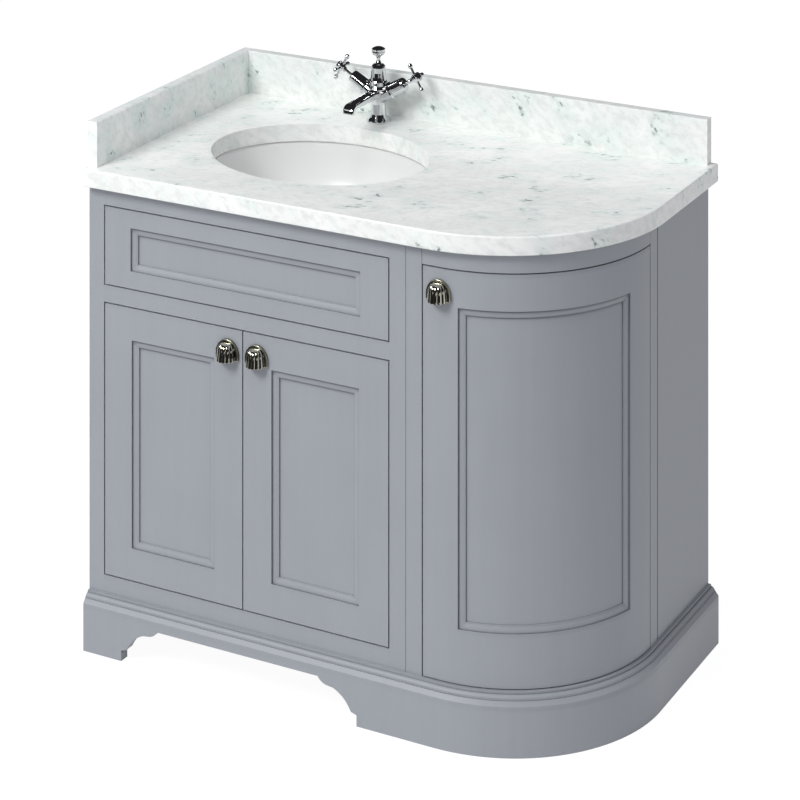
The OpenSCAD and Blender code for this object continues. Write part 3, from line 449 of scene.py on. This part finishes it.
BOWL_HALF = 0.206                 # along the long axis, as all radii of the oval are
BOWL_DEPTH = 0.140
CHINA = 0.010
AROUND = 128
RIM_ARRIS = ((0.002, 0.0), (0.0004, -0.0006))     # outside the bowl's mouth, and its fall
WALL_INSET = 0.001
WALL_RINGS = 22
WALL_SWEEP = 85
WALL_STEEPNESS = 0.65             # powers below 1 keep the wall steep and the floor flat
FLOOR_FLATNESS = 0.9
FLOOR_RINGS = (0.030, 0.012)
low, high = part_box("basin")
basin_centre = Vector(((low.x + high.x) / 2, (low.y + high.y) / 2, high.z))
basin_outer = (high.x - low.x) / 2
basin_ratio = (high.y - low.y) / (high.x - low.x)
basin = start_edit("basin_bowl", bpy.ops.mesh.primitive_circle_add, vertices=AROUND,
                   radius=basin_outer, fill_type="NOTHING", location=basin_centre)
pick("edges", lambda edge: True)
rings = [(BOWL_HALF + out, rise) for out, rise in RIM_ARRIS]
for ring in range(1, WALL_RINGS + 1):
    angle = math.radians(WALL_SWEEP * ring / WALL_RINGS)
    rings.append(((BOWL_HALF - WALL_INSET) * math.cos(angle) ** WALL_STEEPNESS,
                  -BOWL_DEPTH * math.sin(angle) ** FLOOR_FLATNESS))
rings += [(radius, -BOWL_DEPTH) for radius in FLOOR_RINGS]
radius, depth = basin_outer, 0.0
for new_radius, new_depth in rings:
    grow(new_depth - depth, new_radius / radius, basin_centre)
    radius, depth = new_radius, new_depth
bpy.ops.mesh.merge(type="CENTER")
bpy.ops.mesh.select_all(action="SELECT")
stretch((1, basin_ratio, 1), basin_centre)
bpy.ops.mesh.normals_make_consistent(inside=False)
if bmesh.from_edit_mesh(basin.data).faces[:][0].normal.z < 0:
    bpy.ops.mesh.flip_normals()
bpy.ops.object.mode_set(mode="OBJECT")
modify(basin, "SOLIDIFY", thickness=CHINA, offset=-1, use_even_offset=False)

WASTE_BEHIND = 0.030
WASTE_HOLE = 0.0235
WASTE_DRILL = 0.06
RECESS = 0.0315
RECESS_SUNK = 0.003
RECESS_DRILL = 0.0232
waste_seat = basin_centre + Vector((0, WASTE_BEHIND, -BOWL_DEPTH))
drill = start_edit("drill", bpy.ops.mesh.primitive_cylinder_add, vertices=64,
                   radius=WASTE_HOLE, depth=WASTE_DRILL, location=waste_seat)
bpy.ops.mesh.primitive_cylinder_add(
    vertices=64, radius=RECESS, depth=RECESS_DRILL,
    location=waste_seat + Vector((0, 0, RECESS_DRILL / 2 - RECESS_SUNK)))
bpy.ops.object.mode_set(mode="OBJECT")
alone(basin)
modify(basin, "BOOLEAN", object=drill, operation="DIFFERENCE", solver="EXACT", use_self=True)
bpy.data.objects.remove(drill)
smooth(38)

glaze = Finish("white_glaze")
ripple = mottled(glaze, 14.0, 2.0)
skin = glaze.node("Bump", sockets={
    "Height": mottled(glaze, 160.0, 1.0), "Strength": 0.05, "Distance": 0.0003})
settle(basin, glaze.surface(glaze.node("BsdfPrincipled", sockets={
    "Base Color": glaze.mix(ripple, (0.775, 0.786, 0.772), (0.815, 0.826, 0.812)),
    "Roughness": 0.24 + ripple * 0.05, "Normal": skin, "Coat Weight": 0.15 + ripple * 0.1,
    "Coat Roughness": 0.20})), "ceramic", "cabinet", "basin")

SEAL_INSIDE = 0.0008
SEAL_RAISED = 0.0001
SEAL_BULGE = ((0.0009, 0.998), (0.0008, 1.004))   # rise and spread of each step
SEAL_THICK = 0.0008
seal = start_edit("basin_seal", bpy.ops.mesh.primitive_circle_add, vertices=AROUND,
                  radius=BOWL_HALF - SEAL_INSIDE, fill_type="NOTHING",
                  location=basin_centre + Vector((0, 0, SEAL_RAISED)))
pick("edges", lambda edge: True)
for rise, spread in SEAL_BULGE:
    grow(rise, spread, basin_centre)
bpy.ops.mesh.select_all(action="SELECT")
stretch((1, basin_ratio, 1), basin_centre)
close_edit(smooth_below=40)
modify(seal, "SOLIDIFY", thickness=SEAL_THICK, offset=0)
sealant = Finish("grey_sealant")
uneven = mottled(sealant, 60.0, 2.0)
settle(seal, sealant.surface(sealant.node("BsdfPrincipled", sockets={
    "Base Color": sealant.mix(uneven, (0.55, 0.55, 0.55), (0.65, 0.65, 0.65)),
    "Roughness": 0.45 + uneven * 0.1})), "ceramic", "cabinet")


# ---- Metal finishes ----
# Polished chrome on the tap and waste, turned brass on the bushes and the backnut, plated steel on
# pins, clips and tails, and warm nickel on the knobs, dark in its recesses and towards the door:
# partly tarnish, partly painted shade and painted dark reflection. All carry a faint smear.
# Reach of the darkening that is partly tarnish and partly painted shade.
TARNISH_AND_SHADE_REACH = 0.022


def metal(name, low, high, rough, tarnish_and_shade=None):
    """Metal with a smear, and a darkening where little of the room reaches it: partly tarnish,
    partly painted shade.
    """
    finish = Finish(name)
    smear = mottled(finish, 90.0, 2.0)
    colour = finish.mix(smear, low, high)
    if tarnish_and_shade:
        # Partly tarnish in hollows, partly painted shade and painted dark reflection: occlusion
        # darkens the metal in its recesses and near the door.
        openness = finish.node("AmbientOcclusion", {"samples": 12},
                               {"Distance": TARNISH_AND_SHADE_REACH}, out="AO")
        colour = finish.mix(openness.ramp(0.80, 0.54), colour, tarnish_and_shade)
    return finish.surface(finish.node("BsdfPrincipled", sockets={
        "Base Color": colour, "Metallic": 1.0, "Roughness": rough + smear * 0.04}))


chrome = metal("chrome", (0.72, 0.73, 0.75), (0.80, 0.81, 0.83), rough=0.03)
# The last colour of each nickel is its tarnish and painted shade.
nickel = metal("nickel", (0.62, 0.605, 0.52), (0.70, 0.685, 0.59), rough=0.02,
               tarnish_and_shade=(0.07, 0.065, 0.055))
satin_nickel = metal("satin_nickel", (0.68, 0.665, 0.53), (0.76, 0.745, 0.60), rough=0.26,
                     tarnish_and_shade=(0.12, 0.11, 0.085))
brass = metal("brass", (0.66, 0.50, 0.22), (0.76, 0.60, 0.30), rough=0.22)
steel = metal("steel", (0.50, 0.51, 0.53), (0.60, 0.61, 0.63), rough=0.28)
for slot, finish in (("chrome", chrome), ("nickel", nickel), ("brass", brass), ("steel", steel)):
    dress(finish, *made_of(slot))


# ---- Door knobs ----
# Three cast nickel knobs, screwed on from behind: a polished fluted half bell, open at its mouth,
# hangs in front of an arched satin plate with a raised rounded rim.
KNOB_W = 0.045
KNOB_H = 0.035
KNOB_PROJ = 0.025
KNOB_CREASE = 50
PLATE = 0.003
MOUTH = 0.0182
FLUTES = 7
FACETS = 10
# Share of the mouth's radius at each step from the bottom of a groove to the ridge of a flute.
FLUTE_SINKS = (0.915, 0.950, 0.974, 0.989, 0.997, 1.0)
# Height above the mouth and share of its radius, from the lip to the crown.
BELL_PROFILE = (
    (0.0007, 1.012), (0.0018, 1.0), (0.0050, 0.985), (0.0100, 0.962), (0.0150, 0.935),
    (0.0185, 0.905), (0.0215, 0.865), (0.0240, 0.805), (0.0260, 0.73), (0.0276, 0.635),
    (0.0288, 0.52), (0.0296, 0.39), (0.0300, 0.22))
# Rise and narrowing of each ring of the hollow, from the lip inwards.
BELL_HOLLOW = ((0.0, 0.90), (0.012, 0.93), (0.008, 0.80), (0.005, 0.55))
BELL_SHY = 0.0006


def knob_seat(door):
    """The middle of the foot of a door's knob, on the door's face."""
    low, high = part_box(door + "_knob")
    return Vector(((low.x + high.x) / 2, high.y, low.z))


seat = knob_seat("left_door")
bell_axis = seat + Vector((0, -PLATE, 0))
bell = start_edit("left_knob", bpy.ops.mesh.primitive_circle_add, fill_type="NOTHING",
                  vertices=2 * FLUTES * FACETS, radius=MOUTH, location=bell_axis)
for step, sink in enumerate(FLUTE_SINKS):
    pick("verts", lambda vert: min(vert.index % FACETS, FACETS - vert.index % FACETS) == step)
    stretch((sink, sink, 1), bell_axis)
pick("edges", lambda edge: True)
risen, share = 0.0, 1.0
for new_rise, new_share in BELL_PROFILE:
    grow(new_rise - risen, new_share / share, bell_axis)
    risen, share = new_rise, new_share
bpy.ops.mesh.edge_face_add()
pick("edges", lambda edge: edge.is_boundary)
for rise, narrowing in BELL_HOLLOW:
    grow(rise, narrowing, bell_axis)
bpy.ops.mesh.edge_face_add()
bpy.ops.mesh.select_all(action="SELECT")
bpy.ops.mesh.bisect(plane_co=bell_axis, plane_no=(0, 1, 0), use_fill=True, clear_outer=True)
bpy.ops.mesh.select_all(action="SELECT")
bell_reach = MOUTH * BELL_PROFILE[0][1]
stretch((1, (KNOB_PROJ - PLATE - BELL_SHY) / bell_reach, 1), bell_axis)
close_edit(smooth_below=KNOB_CREASE)

ARCH_SPRING = 0.009
RIM_W = 0.0044
RIM_PROUD = 0.0030
RIM_ROUND = 0.0012
TOUCH = 0.0001


def spot(vert):
    """Where a vertex of the open piece stands."""
    return bpy.context.object.matrix_world @ vert.co


arch_centre = seat + Vector((0, 0, ARCH_SPRING))
plate = start_edit("knob_plate", bpy.ops.mesh.primitive_circle_add, vertices=72,
                   radius=KNOB_W / 2, fill_type="NGON", location=arch_centre,
                   rotation=(math.radians(90), 0, 0))
stretch((1, 1, (KNOB_H - ARCH_SPRING) / (KNOB_W / 2)), arch_centre)
pick("verts", lambda vert: spot(vert).z < arch_centre.z - TOUCH)
stretch((1, 1, 0), arch_centre)
bpy.ops.transform.translate(value=(0, 0, seat.z - arch_centre.z))
pick("verts", lambda vert: spot(vert).z < seat.z + TOUCH
     and abs(spot(vert).x - seat.x) < KNOB_W / 2 - 3 * TOUCH)
bpy.ops.mesh.dissolve_verts()
pick("faces", lambda face: True)
extrude((0, -PLATE - RIM_PROUD, 0))
bpy.ops.mesh.inset(thickness=RIM_W, depth=0)
extrude((0, RIM_PROUD, 0))
close_edit(smooth_below=KNOB_CREASE)
modify(plate, "BEVEL", width=RIM_ROUND, segments=4, limit_method="ANGLE",
       angle_limit=math.radians(KNOB_CREASE))
smooth(KNOB_CREASE)
plate.data.materials.append(satin_nickel)
bell.data.materials.append(nickel)
bell.select_set(True)
bpy.context.view_layer.objects.active = bell
bpy.ops.object.join()


def copy_to(piece, name, shift):
    """A moved copy with its own mesh."""
    copy = piece.copy()
    copy.data = piece.data.copy()
    copy.name = copy.data.name = name
    bpy.context.collection.objects.link(copy)
    copy.location = piece.location + shift
    alone(copy)
    return copy


for door in ("right_door", "curved_door"):
    knob = copy_to(bell, door.replace("_door", "_knob"), knob_seat(door) - seat)
    settle(knob, None, "nickel", door, door + "_knob")
alone(bell)
settle(bell, None, "nickel", "left_door", "left_door_knob")


# ---- Tap spout ----
# A cast and chromed bar let into the tap's column: nearly level with a flat top and rounded
# arrises, its nose spun down over a round outlet.
SPOUT_W = 0.021
SPOUT_ARRIS = 0.0046
ROOT_TALL = 0.015
ROOT_REACH = 0.014
# Distance from the column's axis, fall of the top below the root's, and height of each section.
SPOUT_SECTIONS = (
    (0.024, 0.0001, 0.0148), (0.040, 0.0005, 0.0132), (0.060, 0.0011, 0.0116),
    (0.080, 0.0016, 0.0104), (0.094, 0.0020, 0.0098), (0.1040, 0.0023, 0.0096))
WIDENS_PAST = 0.07
WIDENING = 1.03
NOSE_STEPS = 10
NOSE_TURN = math.radians(-86)     # without a window, spin turns the other way
NOSE_PIVOT = 0.0062
OUTLET_LIP = 0.0022
OUTLET_BORE = 0.006
low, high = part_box("tap_spout")
body_low, body_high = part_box("tap_body")
spout_x = (low.x + high.x) / 2
column_y = (body_low.y + body_high.y) / 2
root = Vector((spout_x, column_y - ROOT_REACH, high.z - ROOT_TALL / 2))
spout = start_edit("spout", bpy.ops.mesh.primitive_plane_add, size=1, location=root,
                   rotation=(math.radians(90), 0, 0))
stretch((SPOUT_W, 1, ROOT_TALL), root)
bpy.ops.mesh.bevel(offset=SPOUT_ARRIS, segments=7, affect="VERTICES")
bpy.ops.mesh.select_all(action="SELECT")
reached = ROOT_REACH
for reach, fall, tall in SPOUT_SECTIONS:
    mesh = bmesh.from_edit_mesh(spout.data)
    end = next(face for face in mesh.faces if face.select)
    heights = [spot(vert).z for vert in end.verts]
    top = max(heights)
    extrude((0, reached - reach, 0))
    stretch((1, 1, tall / (top - min(heights))), (spout_x, 0, top))
    bpy.ops.transform.translate(value=(0, 0, high.z - fall - top))
    if reach > WIDENS_PAST:
        stretch((WIDENING, 1, 1), (spout_x, 0, 0))
    reached = reach
pivot = (spout_x, column_y - reached, high.z - fall - tall - NOSE_PIVOT)
bpy.ops.mesh.spin(steps=NOSE_STEPS, angle=NOSE_TURN, center=pivot, axis=(1, 0, 0))
mesh = bmesh.from_edit_mesh(spout.data)
mouth = min(spot(vert).z for vert in mesh.verts if vert.select)
extrude((0, 0, low.z - mouth))
bpy.ops.mesh.inset(thickness=OUTLET_LIP, depth=0)
extrude((0, 0, OUTLET_BORE))
close_edit(smooth_below=32)
settle(spout, chrome, "chrome", "cabinet", "tap_spout")
